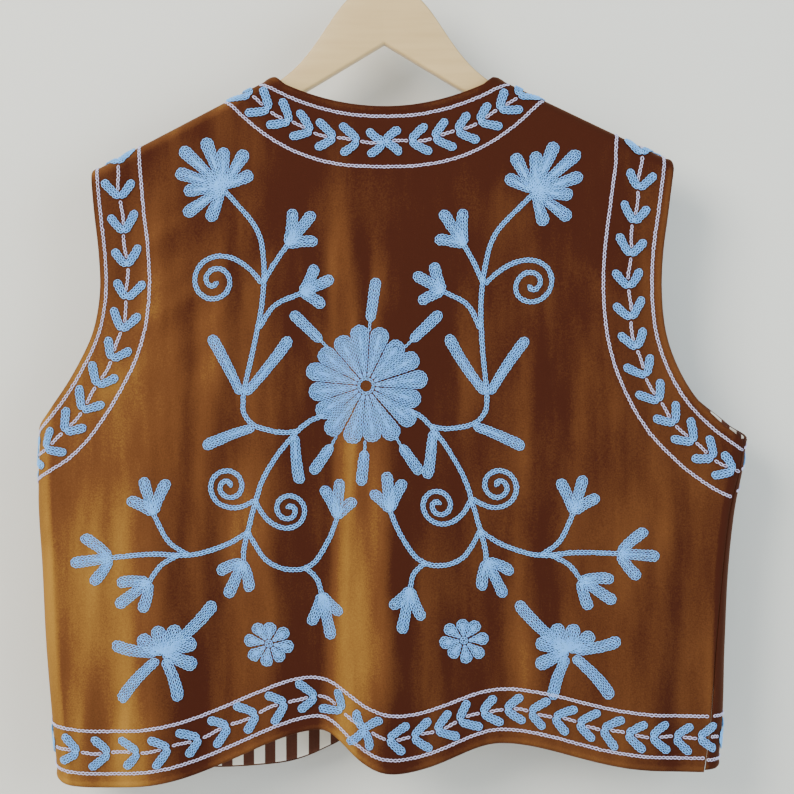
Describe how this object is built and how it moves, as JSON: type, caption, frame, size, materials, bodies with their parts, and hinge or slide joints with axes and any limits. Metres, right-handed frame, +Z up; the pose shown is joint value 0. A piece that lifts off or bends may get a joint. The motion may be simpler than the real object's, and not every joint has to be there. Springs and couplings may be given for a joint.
{
  "type": "embroidered waistcoat on a wooden hanger",
  "caption": "Sleeveless velvet waistcoat, hollow and open at neck, armholes and hem, with a striped lining, hung on a wooden hanger.",
  "frame": {"origin": "inside top of the hanger hook's bend, where a rail or a wall hook carries it", "axes": "+Z up, +Y from the embroidered back through to the fronts, +X to the wearer's right"},
  "size_m": [0.5593, 0.0592, 0.6942],
  "materials": {
    "velvet": "brown cotton velvet with a soft golden sheen",
    "lining": "plain cotton with woven brown and cream stripes",
    "thread": "sky-blue cotton chain stitch",
    "edge_thread": "pale grey-blue cotton chain stitch",
    "beech": "clear satin lacquer on pale beech",
    "hook_steel": "polished plated steel wire"
  },
  "bodies": {
    "root": {"back": "velvet", "front_left": "velvet", "front_right": "velvet", "lining_back": "lining", "lining_front_left": "lining", "lining_front_right": "lining", "hanger_board": "beech", "hanger_hook": "hook_steel"}
  },
  "joints": []
}
